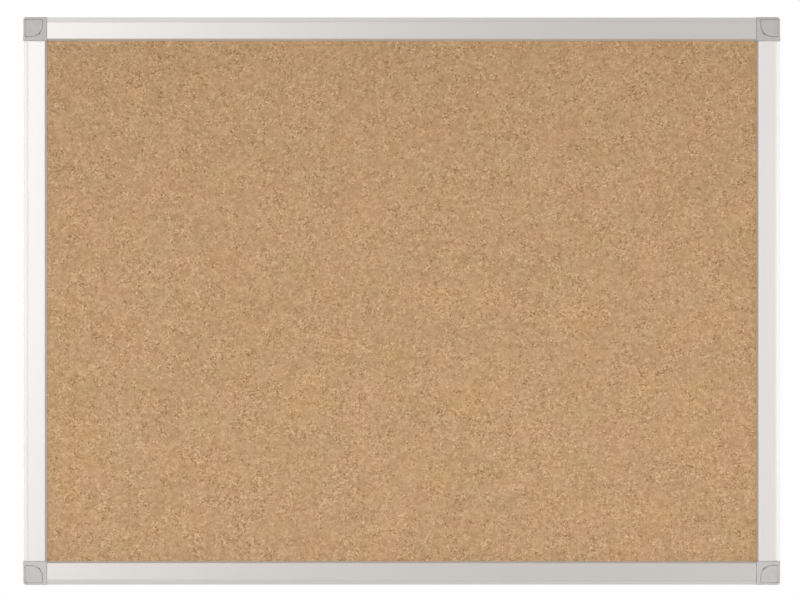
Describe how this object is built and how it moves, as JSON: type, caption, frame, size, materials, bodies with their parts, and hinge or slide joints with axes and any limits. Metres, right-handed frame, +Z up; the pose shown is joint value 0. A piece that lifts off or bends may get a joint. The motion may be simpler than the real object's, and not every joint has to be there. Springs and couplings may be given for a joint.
{
  "type": "cork pinboard",
  "caption": "Wall-hung cork pinboard in a slotted aluminium frame, with grey plastic corner mouldings whose hinged covers hide the wall-screw wells.",
  "frame": {"origin": "middle of the board's back, in the plane of the wall that it hangs on", "axes": "+Z up, +X to the right of someone who faces the board, and +Y into the wall, so that the cork faces -Y"},
  "size_m": [0.6, 0.014, 0.45],
  "materials": {
    "frame_aluminium": "satin silver anodised extrusion, fine lines along its length",
    "corner_plastic": "light grey moulded plastic, fine matt texture",
    "cover_plastic": "light grey moulded plastic, fine matt texture",
    "cork": "fine-grained natural agglomerated cork, unvarnished",
    "softboard": "pressed wood fibre",
    "hardboard": "hardboard with its mesh-patterned face outwards",
    "screw_steel": "zinc-plated countersunk screw"
  },
  "bodies": {
    "root": {"rail_top": "frame_aluminium", "rail_bottom": "frame_aluminium", "rail_left": "frame_aluminium", "rail_right": "frame_aluminium", "corner_top_left": "corner_plastic", "corner_top_right": "corner_plastic", "corner_bottom_left": "corner_plastic", "corner_bottom_right": "corner_plastic", "cork_sheet": "cork", "softboard_core": "softboard", "hardboard_back": "hardboard", "screw_rail_top_left": "screw_steel", "screw_rail_top_right": "screw_steel", "screw_rail_bottom_left": "screw_steel", "screw_rail_bottom_right": "screw_steel", "screw_rail_left_top": "screw_steel", "screw_rail_left_bottom": "screw_steel", "screw_rail_right_top": "screw_steel", "screw_rail_right_bottom": "screw_steel"},
    "lid_top_left": {"cover_top_left": "cover_plastic"},
    "lid_top_right": {"cover_top_right": "cover_plastic"},
    "lid_bottom_left": {"cover_bottom_left": "cover_plastic"},
    "lid_bottom_right": {"cover_bottom_right": "cover_plastic"}
  },
  "joints": [
    {"name": "hinge_top_left", "type": "hinge", "parent": "root", "child": "lid_top_left", "pos_m": [-0.2985, -0.0116, 0.21635], "axis": [0, 0, -1], "range_deg": [0, 110]},
    {"name": "hinge_top_right", "type": "hinge", "parent": "root", "child": "lid_top_right", "pos_m": [0.2985, -0.0116, 0.21635], "axis": [0, 0, 1], "range_deg": [0, 110]},
    {"name": "hinge_bottom_left", "type": "hinge", "parent": "root", "child": "lid_bottom_left", "pos_m": [-0.2985, -0.0116, -0.21635], "axis": [0, 0, -1], "range_deg": [0, 110]},
    {"name": "hinge_bottom_right", "type": "hinge", "parent": "root", "child": "lid_bottom_right", "pos_m": [0.2985, -0.0116, -0.21635], "axis": [0, 0, 1], "range_deg": [0, 110]}
  ]
}
